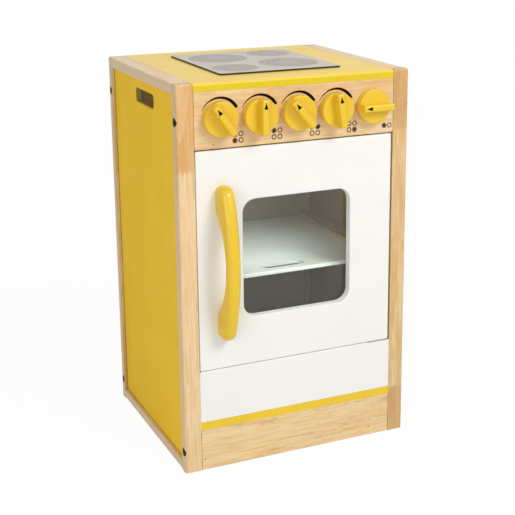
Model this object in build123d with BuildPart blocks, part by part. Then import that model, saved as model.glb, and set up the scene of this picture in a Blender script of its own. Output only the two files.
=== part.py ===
from build123d import *
import os

# Toy oven: a free-standing wooden play cooker. Millimetres, +Z up.
# X runs left to right and Y front to back. The origin is on the floor, in the
# middle of the whole footprint, which includes the door handle at the front.

os.makedirs("parts", exist_ok=True)

# ---------------------------------------------------------------- dimensions
# Overall
WIDTH = 360.0             # across the two side frames
DEPTH = 314.0             # cabinet front face to back face
HEIGHT = 570.0            # floor to the top of the side frames

# Solid wood stock
POST_W = 25.0             # posts and side rails, left to right
STOCK_T = 15.0            # thickness of posts, rails, plinth and control panel
POST_R = 4.0              # outer upright corners of the posts
CAP_R = 3.0               # outer top edges of the side frames
EDGE_R = 1.2              # shown edges of the boards at the front
CORNER_R = 2.0            # corners of the boards at the front
PLINTH_H = 63.0           # plinth and rear bottom rail
CONTROL_H = 80.0          # control panel and rear top rail

# Painted boards
BOARD_T = 12.0            # side panels, top board and bottom board
TOP_NOSE_R = 4.5          # rounded front edge of the top board
SIDE_SET = 5.0            # side panel set back from the outer face of its frame
GROOVE = 4.0              # depth of the grooves that hold the panels
PANEL_PLAY = 0.3          # play between a panel's edge and its groove
BACK_T = 6.0              # back panel
BACK_SET = 6.0            # back panel set in from the back face
LOWER_H = 78.5            # fixed white panel under the door
LOWER_T = 15.0

# Hand holds, one slot high in each side panel
HAND_W = 86.0
HAND_H = 20.5
HAND_R = 6.0
HAND_DROP = 41.2          # centre of the slot below the top of the frame
HAND_LEAD = 4.0           # centre of the slot ahead of the middle of the depth
HAND_RIM_R = 2.0

# Door
DOOR_T = 15.0
LATCH_GAP = 1.2
HINGE_GAP = 2.8
TOP_GAP = 2.0
BOTTOM_GAP = 1.0
DOOR_EDGE_R = 1.5
WINDOW_W = 170.0
WINDOW_H = 175.0
WINDOW_R = 20.0
WINDOW_DROP = 1.6         # window and handle centre below the door's centre
PANE_T = 3.0
PANE_LEDGE = 7.0          # width of the rebate behind the window
PANE_PLAY = 0.5
WASHER_R = 5.0            # washers that clamp the pane
WASHER_T = 1.0
PANE_SCREW_R = 1.6
PANE_SCREW_L = 10.0
PANE_HEAD_R = 3.0
PANE_HEAD_H = 1.6
PANE_SCREW_OUT = 2.8      # screw centre outside the edge of the rebate
PANE_SCREW_SPREAD = 50.0  # screws this far either side of the window's centre

# Bow handle
HANDLE_W = 21.0           # left to right
HANDLE_HALF = 115.5       # centre to end
HANDLE_FOOT = 112.0       # centre to the end of the foot on the door
HANDLE_OUT = 45.0         # crown of the bow in front of the door
HANDLE_END = 20.0         # depth of the bow at its two ends
ARCH_HALF = 71.0          # half of the finger opening, along the door
ARCH_RISE = 32.5          # depth of the finger opening
HANDLE_END_R = 18.0
HANDLE_FRONT_R = 9.0
ARCH_R = 4.0
HANDLE_INSET = 38.5       # centre line from the door's left edge
HANDLE_SCREW_AT = 90.0    # screws this far either side of the centre
HANDLE_SCREW_R = 2.0
HANDLE_SCREW_GRIP = 15.0  # length in the foot
HANDLE_HEAD_R = 4.0

# Pivot hinges above and below the door's right edge
PIVOT_EDGE = 15.0         # pivot axis from the door's right edge
PIN_R = 2.5
PIN_L = 9.0               # pin above its plate
RUN_CLEAR = 0.05          # radial clearance of turning fits
PLATE_T = 1.5
PLATE_SINK = 1.0          # let into the wood
PLATE_TAIL = 20.0         # plate from the pivot towards the latch side
PLATE_NOSE = 16.0         # plate from the pivot towards the post
PLATE_W = 13.0
BUSH_R = 4.0
BUSH_L = 10.0
FLANGE_R = 5.5
FLANGE_T = 1.0
BUSH_END = 1.0            # free depth of the hole past the bush
PLATE_SCREW_R = 1.5
PLATE_SCREW_L = 15.0
PLATE_HEAD_R = 2.8
PLATE_SCREW_AT = (-14.0, 10.0)   # from the pivot

# Magnetic catch behind the control panel, and its strike plate on the door
CATCH_W = 42.0
CATCH_D = 12.0
CATCH_UP = 18.0           # housing above the lower edge of the control panel
CATCH_DOWN = 12.0         # housing below it, behind the door
CATCH_AIR = 0.5           # catch to door
MAGNET_W = 30.0
MAGNET_H = 6.0
MAGNET_D = 8.0
CATCH_SCREW_AT = 14.0     # either side of the housing's centre
CATCH_SCREW_R = 1.6
CATCH_SCREW_L = 11.0      # length in the wood
STRIKE_W = 36.0
STRIKE_H = 9.0
STRIKE_T = 1.5
STRIKE_SCREW_L = 11.0
STRIKE_DROP = 1.0         # plate below the door's top edge
MAGNET_UP = 2.0           # magnet above the housing's lower edge

# Rotary knobs
KNOB_COUNT = 5
KNOB_PITCH = 59.0
KNOB_RAISE = 2.0          # above the middle of the control panel
KNOB_R = 24.75
KNOB_BASE_H = 12.5
KNOB_H = 27.0
RIDGE_W = 10.0
KNOB_EDGE_R = 1.5
RIDGE_R = 2.5
KNOB_AIR = 0.4            # knob to panel, and washer to panel
SPINDLE_R = 3.0
SPINDLE_GRIP = 16.0       # length of the screw inside the knob
KNOB_WASHER_R = 7.0
KNOB_WASHER_T = 1.2
SPINDLE_HEAD_R = 5.5
SPINDLE_HEAD_H = 3.5
KNOB_ANGLES = (35.0, 0.0, 40.0, 8.0, 90.0)   # anticlockwise from straight up

# Connector bolts and barrel nuts that join the side frames
BOLT_R = 3.0
BOLT_L = 50.0
BOLT_HOLE_R = 3.5
BOLT_HEAD_R = 6.2
BOLT_HEAD_H = 2.6
BOLT_SINK = 0.3           # head below the face of the post
BOLT_CHAMFER = 0.8        # rim of the head
BOLT_TIP = 1.0            # chamfered end of the thread
BOLT_END = 2.0            # free depth of the hole past the thread
BOLT_BORE_R = 6.6
SOCKET_AF = 4.0           # hexagon socket, centre to flat = half
SOCKET_DEEP = 1.8
NUT_R = 5.0
NUT_L = 11.0
NUT_AT = 20.0             # nut centre from the end of the board

# Dowels
DOWEL_R = 3.0
DOWEL_L = 30.0            # rail to post
SHORT_DOWEL_L = 20.0      # board to board
SHORT_DOWEL_UP = 8.0      # part of the short dowel in the upper or outer piece
DOWEL_PLAY = 0.05
BOARD_DOWEL_X = 100.0
LOWER_DOWEL_X = 125.0

# Shelf and its runners
SHELF_RISE = 205.0        # top of the shelf above the oven floor
SHELF_T = 6.0
RUNNER_IN = 26.0          # runners behind the cabinet's front face, clear of the door's swing
SHELF_BEHIND = 6.0        # shelf's front edge behind the ends of the runners
SHELF_BACK_AIR = 2.0      # shelf to back panel
SHELF_CORNER_R = 4.0
SHELF_PLAY = 0.4          # all round in the runners
SHELF_SLOT_W = 70.0
SHELF_SLOT_D = 22.0
SHELF_SLOT_IN = 14.0      # slot from the shelf's front edge
RUNNER_W = 27.0
RUNNER_LIP = 5.6          # above the groove
RUNNER_BED = 9.6          # under the groove
RUNNER_GROOVE = 6.0
RUNNER_SCREW_R = 2.0
RUNNER_HEAD_R = 3.8
RUNNER_SCREW_GRIP = 8.0   # length in the side panel
RUNNER_SCREW_IN = 40.0    # from the ends of the runner

# Hob plate
HOB_W = 190.0
HOB_D = 210.0
HOB_T = 3.0
HOB_R = 4.0

# ------------------------------------------------------------ derived places
FRONT = (HANDLE_OUT - DEPTH) / 2
BACK = FRONT + DEPTH
SIDE = WIDTH / 2                       # outer face of the right side frame
OPEN_X = SIDE - POST_W                 # inner face of the right posts
POST_BACK = FRONT + STOCK_T            # back of the front posts
REAR_FACE = BACK - STOCK_T             # front of the rear posts
FRONT_MID = FRONT + STOCK_T / 2
REAR_MID = BACK - STOCK_T / 2
PANEL_OUT = SIDE - SIDE_SET            # outer face of a side panel
PANEL_IN = PANEL_OUT - BOARD_T         # inner face of a side panel
BACK_FACE = BACK - BACK_SET - BACK_T   # front of the back panel

FLOOR_Z = PLINTH_H + BOARD_T
LOWER_TOP = FLOOR_Z + LOWER_H
TOP_UNDER = HEIGHT - BOARD_T
CONTROL_BOTTOM = TOP_UNDER - CONTROL_H
BOLT_LEVELS = (PLINTH_H / 2, CONTROL_BOTTOM + CONTROL_H / 2)

DOOR_LEFT = -OPEN_X + LATCH_GAP
DOOR_RIGHT = OPEN_X - HINGE_GAP
DOOR_BOTTOM = LOWER_TOP + BOTTOM_GAP
DOOR_TOP = CONTROL_BOTTOM - TOP_GAP
DOOR_BACK = FRONT + DOOR_T
DOOR_MID_Z = (DOOR_BOTTOM + DOOR_TOP) / 2 - WINDOW_DROP
PIVOT_X = DOOR_RIGHT - PIVOT_EDGE
PIVOT_Y = FRONT + DOOR_T / 2
HANDLE_X = DOOR_LEFT + HANDLE_INSET

SHELF_TOP = FLOOR_Z + SHELF_RISE
RUNNER_Y = FRONT + RUNNER_IN
SHELF_Y = RUNNER_Y + SHELF_BEHIND
RUNNER_TOP = SHELF_TOP + SHELF_PLAY + RUNNER_LIP
RUNNER_BOTTOM = SHELF_TOP - SHELF_T - SHELF_PLAY - RUNNER_BED
RUNNER_FACE = PANEL_IN - RUNNER_W      # inner face of the right runner
SHELF_HALF = RUNNER_FACE + RUNNER_GROOVE - SHELF_PLAY

RAIL_DOWEL_IN = (STOCK_T - GROOVE) / 2
RAIL_DOWEL_LEVELS = (RAIL_DOWEL_IN, HEIGHT - RAIL_DOWEL_IN)
RAIL_MID_X = SIDE - POST_W / 2
LOWER_DOWEL_Z = FLOOR_Z + LOWER_H / 2
KNOB_Z = CONTROL_BOTTOM + CONTROL_H / 2 + KNOB_RAISE
KNOB_XS = [KNOB_PITCH * (n - (KNOB_COUNT - 1) / 2) for n in range(KNOB_COUNT)]


# ------------------------------------------------------------------- helpers
def save(piece, name):
    """Label a finished piece and write it."""
    piece.part.label = name
    export_step(piece.part, f"parts/{name}.step")


def facing_front(y):
    """Upright plane at depth y: sketch X and Y are the object's X and Z."""
    return Plane(origin=(0, y, 0), x_dir=(1, 0, 0), z_dir=(0, -1, 0))


def looking(point, direction):
    """Plane at a point whose normal is a direction, for holes and fasteners."""
    return Plane(origin=point, z_dir=direction)


def area(low, high, corner=0.0, mode=Mode.ADD):
    """Rectangle between two opposite corners, in the current sketch."""
    width = high[0] - low[0]
    height = high[1] - low[1]
    with Locations(((low[0] + high[0]) / 2, (low[1] + high[1]) / 2)):
        if corner:
            RectangleRounded(width, height, corner, mode=mode)
        else:
            Rectangle(width, height, mode=mode)


def trench(x, y, z):
    """Cut a straight-sided groove or recess between (low, high) pairs."""
    with Locations((sum(x) / 2, sum(y) / 2, sum(z) / 2)):
        Box(x[1] - x[0], y[1] - y[0], z[1] - z[0], mode=Mode.SUBTRACT)


def dowel_hole(point, direction, deep):
    """Blind dowel hole from a point on a face, drilled against its normal."""
    with Locations(looking(point, direction)):
        Hole(DOWEL_R + DOWEL_PLAY, depth=deep)


def copies(source, planes):
    """The same small piece on each of the given planes, as one group."""
    with BuildPart() as group:
        with Locations(*planes):
            add(source.part)
    return group


def mirrored(source):
    """The matching piece of the other side."""
    with BuildPart() as twin:
        mirror(source.part, about=Plane.YZ)
    return twin


def sunk_screw(radius, head_radius, length):
    """Countersunk wood screw, its head's face at the plane, pointing down -Z."""
    head = head_radius - radius
    with BuildPart() as screw:
        with BuildSketch(Plane.XZ):
            with BuildLine():
                Polyline(
                    (0, 0), (head_radius, 0), (radius, -head),
                    (radius, radius - length), (0, -length), close=True,
                )
            make_face()
        revolve(axis=Axis.Z)
    return screw


def pan_screw(radius, head_radius, head_height, length):
    """Pan-head screw, its head's underside at the plane, pointing down -Z."""
    flat = head_radius / 2
    with BuildPart() as screw:
        with BuildSketch(Plane.XZ):
            with BuildLine():
                Polyline(
                    (flat, head_height), (0, head_height), (0, -length),
                    (radius, radius / 2 - length), (radius, 0), (head_radius, 0),
                )
                RadiusArc((head_radius, 0), (flat, head_height), -head_radius)
            make_face()
        revolve(axis=Axis.Z)
    return screw


# --------------------------------------------------------------- side frames
def left_post(y_low, outward):
    """Post of the left frame; outward is -1 at the front and +1 at the rear."""
    y_mid = y_low + STOCK_T / 2
    y_rail = y_mid - outward * STOCK_T / 2
    with BuildPart() as post:
        with BuildSketch(Plane.XY):
            area((-SIDE, y_low), (-OPEN_X, y_low + STOCK_T))
        extrude(amount=HEIGHT)

        uprights = post.edges().filter_by(Axis.Z).group_by(Axis.X)[0]
        fillet(uprights.sort_by(Axis.Y)[0 if outward < 0 else -1], POST_R)
        cap = post.faces().sort_by(Axis.Z)[-1].edges()
        shown = cap.filter_by(
            lambda edge: edge.center().X < -OPEN_X - 1
            and outward * (edge.center().Y - y_mid) > 1 - STOCK_T / 2
        )
        fillet(shown, CAP_R)

        # Groove for the side panel, stopped short of the rails.
        trench(
            (-PANEL_OUT, -PANEL_IN),
            sorted((y_rail, y_rail + outward * GROOVE)),
            (STOCK_T - GROOVE, HEIGHT - STOCK_T + GROOVE),
        )
        for level in RAIL_DOWEL_LEVELS:
            dowel_hole((-RAIL_MID_X, y_rail, level), (0, -outward, 0), DOWEL_L / 2 - GROOVE)
        for level in BOLT_LEVELS:
            with Locations(looking((-SIDE, y_mid, level), (-1, 0, 0))):
                CounterBoreHole(BOLT_HOLE_R, BOLT_BORE_R, BOLT_SINK + BOLT_HEAD_H)
        if outward < 0:
            dowel_hole((-OPEN_X, y_mid, LOWER_DOWEL_Z), (1, 0, 0), SHORT_DOWEL_L - SHORT_DOWEL_UP)
        else:
            trench(
                (-OPEN_X - GROOVE, -OPEN_X),
                (BACK_FACE, BACK_FACE + BACK_T),
                (FLOOR_Z - GROOVE, CONTROL_BOTTOM + GROOVE),
            )
    return post


def left_rail(z_low, upward):
    """Rail of the left frame; upward is +1 at the top and -1 at the bottom."""
    z_high = z_low + STOCK_T
    z_outer = z_high if upward > 0 else z_low
    z_panel = z_low if upward > 0 else z_high
    with BuildPart() as rail:
        with BuildSketch(facing_front(POST_BACK)) as section:
            area((-SIDE, z_low), (-OPEN_X, z_high))
            corners = section.vertices().group_by(Axis.X)[0]
            fillet(corners.sort_by(Axis.Y)[-1 if upward > 0 else 0], CAP_R)
            area(
                (-PANEL_OUT, min(z_panel, z_panel + upward * GROOVE)),
                (-PANEL_IN, max(z_panel, z_panel + upward * GROOVE)),
                mode=Mode.SUBTRACT,
            )
        extrude(amount=POST_BACK - REAR_FACE)
        level = z_outer - upward * RAIL_DOWEL_IN
        deep = DOWEL_L / 2 + GROOVE
        dowel_hole((-RAIL_MID_X, POST_BACK, level), (0, -1, 0), deep)
        dowel_hole((-RAIL_MID_X, REAR_FACE, level), (0, 1, 0), deep)
    return rail


RUNNER_SCREW_YS = (RUNNER_Y + RUNNER_SCREW_IN, REAR_FACE - RUNNER_SCREW_IN)
RUNNER_SCREW_Z = RUNNER_BOTTOM + RUNNER_BED / 2

with BuildPart() as left_side_panel:
    with BuildSketch(Plane.YZ.offset(-PANEL_OUT)):
        area(
            (POST_BACK - GROOVE + PANEL_PLAY, STOCK_T - GROOVE),
            (REAR_FACE + GROOVE - PANEL_PLAY, HEIGHT - STOCK_T + GROOVE - PANEL_PLAY),
        )
        with Locations(((FRONT + BACK) / 2 - HAND_LEAD, HEIGHT - HAND_DROP)):
            RectangleRounded(HAND_W, HAND_H, HAND_R, mode=Mode.SUBTRACT)
    extrude(amount=BOARD_T)
    faces_of_panel = left_side_panel.faces().sort_by(Axis.X)
    rims = faces_of_panel[0].inner_wires()[0].edges() + faces_of_panel[-1].inner_wires()[0].edges()
    fillet(rims, HAND_RIM_R)
    for y in RUNNER_SCREW_YS:
        with Locations(looking((-PANEL_IN, y, RUNNER_SCREW_Z), (1, 0, 0))):
            Hole(RUNNER_SCREW_R + DOWEL_PLAY, depth=RUNNER_SCREW_GRIP)

left_front_post = left_post(FRONT, -1)
left_rear_post = left_post(REAR_FACE, 1)
left_top_rail = left_rail(HEIGHT - STOCK_T, 1)
left_bottom_rail = left_rail(0, -1)

save(left_front_post, "left_front_post")
save(left_rear_post, "left_rear_post")
save(left_top_rail, "left_top_rail")
save(left_bottom_rail, "left_bottom_rail")
save(left_side_panel, "left_side_panel")
save(mirrored(left_front_post), "right_front_post")
save(mirrored(left_rear_post), "right_rear_post")
save(mirrored(left_top_rail), "right_top_rail")
save(mirrored(left_bottom_rail), "right_bottom_rail")
save(mirrored(left_side_panel), "right_side_panel")


# ------------------------------------------------- boards between the frames
def bolt_seats(y_mid, y_open, outward, level):
    """Bolt holes in both ends of a board, and barrel nut holes from inside."""
    for side in (-1, 1):
        with Locations(looking((side * OPEN_X, y_mid, level), (side, 0, 0))):
            Hole(BOLT_HOLE_R, depth=BOLT_L - POST_W + BOLT_END)
        with Locations(looking((side * (OPEN_X - NUT_AT), y_open, level), (0, outward, 0))):
            Hole(NUT_R + DOWEL_PLAY, depth=STOCK_T / 2 + NUT_L / 2)


def board_dowel_holes(y_mid, z, direction, deep):
    """The two dowel holes in the edge or face of a board."""
    for side in (-1, 1):
        dowel_hole((side * BOARD_DOWEL_X, y_mid, z), (0, 0, direction), deep)


LONG_END = SHORT_DOWEL_L - SHORT_DOWEL_UP

with BuildPart() as control_panel:
    with BuildSketch(facing_front(FRONT)):
        area((-OPEN_X, CONTROL_BOTTOM), (OPEN_X, TOP_UNDER), CORNER_R)
    extrude(amount=-STOCK_T)
    fillet(control_panel.faces().sort_by(Axis.Y)[0].edges(), EDGE_R)
    for x in KNOB_XS:
        with Locations(looking((x, FRONT, KNOB_Z), (0, -1, 0))):
            Hole(SPINDLE_R + RUN_CLEAR)
    bolt_seats(FRONT_MID, POST_BACK, 1, BOLT_LEVELS[1])
    board_dowel_holes(FRONT_MID, TOP_UNDER, 1, LONG_END)
    trench(
        (PIVOT_X - PLATE_TAIL, PIVOT_X + PLATE_NOSE),
        (FRONT, POST_BACK),
        (CONTROL_BOTTOM, CONTROL_BOTTOM + PLATE_SINK),
    )
    for along in PLATE_SCREW_AT:
        with Locations(looking((PIVOT_X + along, PIVOT_Y, CONTROL_BOTTOM + PLATE_SINK), (0, 0, -1))):
            Hole(PLATE_SCREW_R + DOWEL_PLAY, depth=PLATE_SCREW_L - PLATE_T)
    for side in (-1, 1):
        screw_x = HANDLE_X + side * CATCH_SCREW_AT
        with Locations(looking((screw_x, POST_BACK, CONTROL_BOTTOM + CATCH_UP / 2), (0, 1, 0))):
            Hole(CATCH_SCREW_R + DOWEL_PLAY, depth=CATCH_SCREW_L)
save(control_panel, "control_panel")

with BuildPart() as plinth_board:
    with BuildSketch(facing_front(FRONT)):
        area((-OPEN_X, 0), (OPEN_X, PLINTH_H), CORNER_R)
    extrude(amount=-STOCK_T)
    fillet(plinth_board.faces().sort_by(Axis.Y)[0].edges(), EDGE_R)
    bolt_seats(FRONT_MID, POST_BACK, 1, BOLT_LEVELS[0])
    board_dowel_holes(FRONT_MID, PLINTH_H, 1, LONG_END)
save(plinth_board, "plinth_board")

with BuildPart() as rear_top_rail:
    with BuildSketch(facing_front(REAR_FACE)):
        area((-OPEN_X, CONTROL_BOTTOM), (OPEN_X, TOP_UNDER))
    extrude(amount=-STOCK_T)
    trench((-OPEN_X, OPEN_X), (BACK_FACE, BACK_FACE + BACK_T), (CONTROL_BOTTOM, CONTROL_BOTTOM + GROOVE))
    bolt_seats(REAR_MID, REAR_FACE, -1, BOLT_LEVELS[1])
    board_dowel_holes(REAR_MID, TOP_UNDER, 1, LONG_END)
save(rear_top_rail, "rear_top_rail")

with BuildPart() as rear_bottom_rail:
    with BuildSketch(facing_front(REAR_FACE)):
        area((-OPEN_X, 0), (OPEN_X, PLINTH_H))
    extrude(amount=-STOCK_T)
    bolt_seats(REAR_MID, REAR_FACE, -1, BOLT_LEVELS[0])
    board_dowel_holes(REAR_MID, PLINTH_H, 1, LONG_END)
save(rear_bottom_rail, "rear_bottom_rail")

with BuildPart() as top_board:
    with BuildSketch(Plane.XY.offset(TOP_UNDER)):
        area((-OPEN_X, FRONT), (OPEN_X, BACK))
    extrude(amount=BOARD_T)
    nose = top_board.edges().filter_by(Axis.X).group_by(Axis.Y)[0].sort_by(Axis.Z)
    fillet(nose[-1], TOP_NOSE_R)
    fillet(top_board.faces().sort_by(Axis.Z)[-1].edges().filter_by(Axis.Y), EDGE_R / 2)
    board_dowel_holes(FRONT_MID, TOP_UNDER, -1, SHORT_DOWEL_UP)
    board_dowel_holes(REAR_MID, TOP_UNDER, -1, SHORT_DOWEL_UP)
save(top_board, "top_board")

# The oven floor reaches the side panels and is notched round the four posts.
with BuildPart() as bottom_board:
    with BuildSketch(Plane.XY.offset(PLINTH_H)):
        area((-OPEN_X, FRONT), (OPEN_X, BACK))
        area((-PANEL_IN, POST_BACK), (PANEL_IN, REAR_FACE))
    extrude(amount=BOARD_T)
    shown_edges = bottom_board.faces().sort_by(Axis.Y)[0].edges().filter_by(Axis.X)
    fillet(shown_edges, EDGE_R / 2)
    trench((-OPEN_X, OPEN_X), (BACK_FACE, BACK_FACE + BACK_T), (FLOOR_Z - GROOVE, FLOOR_Z))
    board_dowel_holes(FRONT_MID, PLINTH_H, -1, SHORT_DOWEL_UP)
    board_dowel_holes(REAR_MID, PLINTH_H, -1, SHORT_DOWEL_UP)
    for side in (-1, 1):
        dowel_hole((side * LOWER_DOWEL_X, FRONT_MID, FLOOR_Z), (0, 0, 1), SHORT_DOWEL_UP)
save(bottom_board, "bottom_board")

with BuildPart() as lower_front_panel:
    with BuildSketch(facing_front(FRONT)):
        area((-OPEN_X, FLOOR_Z), (OPEN_X, LOWER_TOP), CORNER_R)
    extrude(amount=-LOWER_T)
    fillet(lower_front_panel.faces().sort_by(Axis.Y)[0].edges(), EDGE_R)
    trench(
        (PIVOT_X - PLATE_TAIL, PIVOT_X + PLATE_NOSE),
        (FRONT, FRONT + LOWER_T),
        (LOWER_TOP - PLATE_SINK, LOWER_TOP),
    )
    for along in PLATE_SCREW_AT:
        with Locations(looking((PIVOT_X + along, PIVOT_Y, LOWER_TOP - PLATE_SINK), (0, 0, 1))):
            Hole(PLATE_SCREW_R + DOWEL_PLAY, depth=PLATE_SCREW_L - PLATE_T)
    for side in (-1, 1):
        dowel_hole((side * LOWER_DOWEL_X, FRONT_MID, FLOOR_Z), (0, 0, -1), LONG_END)
        dowel_hole((side * OPEN_X, FRONT_MID, LOWER_DOWEL_Z), (side, 0, 0), SHORT_DOWEL_UP)
save(lower_front_panel, "lower_front_panel")

with BuildPart() as back_panel:
    with BuildSketch(facing_front(BACK_FACE)):
        area(
            (-OPEN_X - GROOVE + PANEL_PLAY, FLOOR_Z - GROOVE),
            (OPEN_X + GROOVE - PANEL_PLAY, CONTROL_BOTTOM + GROOVE - PANEL_PLAY),
        )
    extrude(amount=-BACK_T)
save(back_panel, "back_panel")

with BuildPart() as hob_plate:
    with BuildSketch(Plane.XY.offset(HEIGHT)):
        with Locations((0, (FRONT + BACK) / 2)):
            RectangleRounded(HOB_W, HOB_D, HOB_R)
    extrude(amount=HOB_T)
    fillet(hob_plate.faces().sort_by(Axis.Z)[-1].edges(), EDGE_R / 2)
save(hob_plate, "hob_plate")

# ------------------------------------------------------- fasteners and dowels
with BuildPart() as bolt:
    head_foot = -BOLT_SINK - BOLT_HEAD_H
    with BuildSketch(Plane.XZ):
        with BuildLine():
            Polyline(
                (0, -BOLT_SINK), (BOLT_HEAD_R - BOLT_CHAMFER, -BOLT_SINK),
                (BOLT_HEAD_R, -BOLT_SINK - BOLT_CHAMFER),
                (BOLT_HEAD_R, head_foot), (BOLT_R, head_foot),
                (BOLT_R, BOLT_TIP - BOLT_L), (BOLT_R - BOLT_TIP, -BOLT_L), (0, -BOLT_L), close=True,
            )
        make_face()
    revolve(axis=Axis.Z)
    with BuildSketch(Plane.XY.offset(-BOLT_SINK)):
        RegularPolygon(SOCKET_AF / 2, 6, major_radius=False)
    extrude(amount=-SOCKET_DEEP, mode=Mode.SUBTRACT)

bolt_planes = [
    looking((side * SIDE, y, level), (side, 0, 0))
    for side in (-1, 1)
    for y in (FRONT_MID, REAR_MID)
    for level in BOLT_LEVELS
]
save(copies(bolt, bolt_planes), "frame_bolts")

with BuildPart() as barrel_nut:
    with BuildSketch(Plane.XY):
        Circle(NUT_R)
    extrude(amount=NUT_L / 2, both=True)
    with BuildSketch(Plane.YZ):
        Circle(BOLT_R + DOWEL_PLAY)
    extrude(amount=NUT_R, both=True, mode=Mode.SUBTRACT)

nut_planes = [
    Plane(origin=(side * (OPEN_X - NUT_AT), y, level), x_dir=(1, 0, 0), z_dir=(0, 1, 0))
    for side in (-1, 1)
    for y in (FRONT_MID, REAR_MID)
    for level in BOLT_LEVELS
]
save(copies(barrel_nut, nut_planes), "barrel_nuts")


def dowel(length):
    """Round dowel with its middle at the plane, along Z."""
    with BuildPart() as pin:
        with BuildSketch(Plane.XY):
            Circle(DOWEL_R)
        extrude(amount=length / 2, both=True)
        chamfer(pin.edges(), DOWEL_R / 5)
    return pin


# Rail dowels: one in each end of the four side rails, deeper in the rail.
rail_dowel_planes = [
    looking((side * RAIL_MID_X, y, level), (0, 1, 0))
    for side in (-1, 1)
    for y in (POST_BACK + GROOVE, REAR_FACE - GROOVE)
    for level in RAIL_DOWEL_LEVELS
]
save(copies(dowel(DOWEL_L), rail_dowel_planes), "rail_dowels")

SHORT_SHIFT = SHORT_DOWEL_L / 2 - SHORT_DOWEL_UP
board_dowel_planes = [
    looking((side * BOARD_DOWEL_X, y, z - SHORT_SHIFT), (0, 0, 1))
    for side in (-1, 1)
    for y in (FRONT_MID, REAR_MID)
    for z in (PLINTH_H, TOP_UNDER)
]
for side in (-1, 1):
    standing = (side * LOWER_DOWEL_X, FRONT_MID, FLOOR_Z + SHORT_SHIFT)
    lying = (side * (OPEN_X + SHORT_SHIFT), FRONT_MID, LOWER_DOWEL_Z)
    board_dowel_planes.append(looking(standing, (0, 0, 1)))
    board_dowel_planes.append(looking(lying, (side, 0, 0)))
save(copies(dowel(SHORT_DOWEL_L), board_dowel_planes), "board_dowels")

# ---------------------------------------------------------- shelf and runners
with BuildPart() as left_shelf_runner:
    with BuildSketch(facing_front(RUNNER_Y)) as runner_section:
        area((-PANEL_IN, RUNNER_BOTTOM), (-RUNNER_FACE, RUNNER_TOP))
        fillet(runner_section.vertices().group_by(Axis.X)[-1], CORNER_R)
        area(
            (-RUNNER_FACE - RUNNER_GROOVE, SHELF_TOP - SHELF_T - SHELF_PLAY),
            (-RUNNER_FACE, SHELF_TOP + SHELF_PLAY),
            mode=Mode.SUBTRACT,
        )
    extrude(amount=RUNNER_Y - REAR_FACE)
    for y in RUNNER_SCREW_YS:
        with Locations(looking((-RUNNER_FACE, y, RUNNER_SCREW_Z), (1, 0, 0))):
            CounterSinkHole(RUNNER_SCREW_R + DOWEL_PLAY, RUNNER_HEAD_R + DOWEL_PLAY, RUNNER_W, 90)
save(left_shelf_runner, "left_shelf_runner")
save(mirrored(left_shelf_runner), "right_shelf_runner")

runner_screw_planes = [
    looking((side * RUNNER_FACE, y, RUNNER_SCREW_Z), (-side, 0, 0))
    for side in (-1, 1)
    for y in RUNNER_SCREW_YS
]
runner_screw = sunk_screw(RUNNER_SCREW_R, RUNNER_HEAD_R, RUNNER_W + RUNNER_SCREW_GRIP)
save(copies(runner_screw, runner_screw_planes), "runner_screws")

with BuildPart() as oven_shelf:
    with BuildSketch(Plane.XY.offset(SHELF_TOP - SHELF_T)):
        area((-SHELF_HALF, SHELF_Y), (SHELF_HALF, BACK_FACE - SHELF_BACK_AIR), SHELF_CORNER_R)
        slot_y = SHELF_Y + SHELF_SLOT_IN + SHELF_SLOT_D / 2
        with Locations((0, slot_y)):
            SlotOverall(SHELF_SLOT_W, SHELF_SLOT_D, mode=Mode.SUBTRACT)
    extrude(amount=SHELF_T)
    fillet(oven_shelf.faces().sort_by(Axis.Y)[0].edges().filter_by(Axis.X), EDGE_R)
save(oven_shelf, "oven_shelf")

# ----------------------------------------------------------------------- door
HANDLE_SCREW_LEVELS = (DOOR_MID_Z - HANDLE_SCREW_AT, DOOR_MID_Z + HANDLE_SCREW_AT)
REBATE_X = WINDOW_W / 2 + PANE_LEDGE
REBATE_Z = WINDOW_H / 2 + PANE_LEDGE
STRIKE_Z = DOOR_TOP - STRIKE_DROP - STRIKE_H / 2
PANE_SCREW_SPOTS = []
for side in (-1, 1):
    for step in (-1, 1):
        beside = (side * (REBATE_X + PANE_SCREW_OUT), DOOR_MID_Z + step * PANE_SCREW_SPREAD)
        over = (step * PANE_SCREW_SPREAD, DOOR_MID_Z + side * (REBATE_Z + PANE_SCREW_OUT))
        PANE_SCREW_SPOTS += [beside, over]

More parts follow.
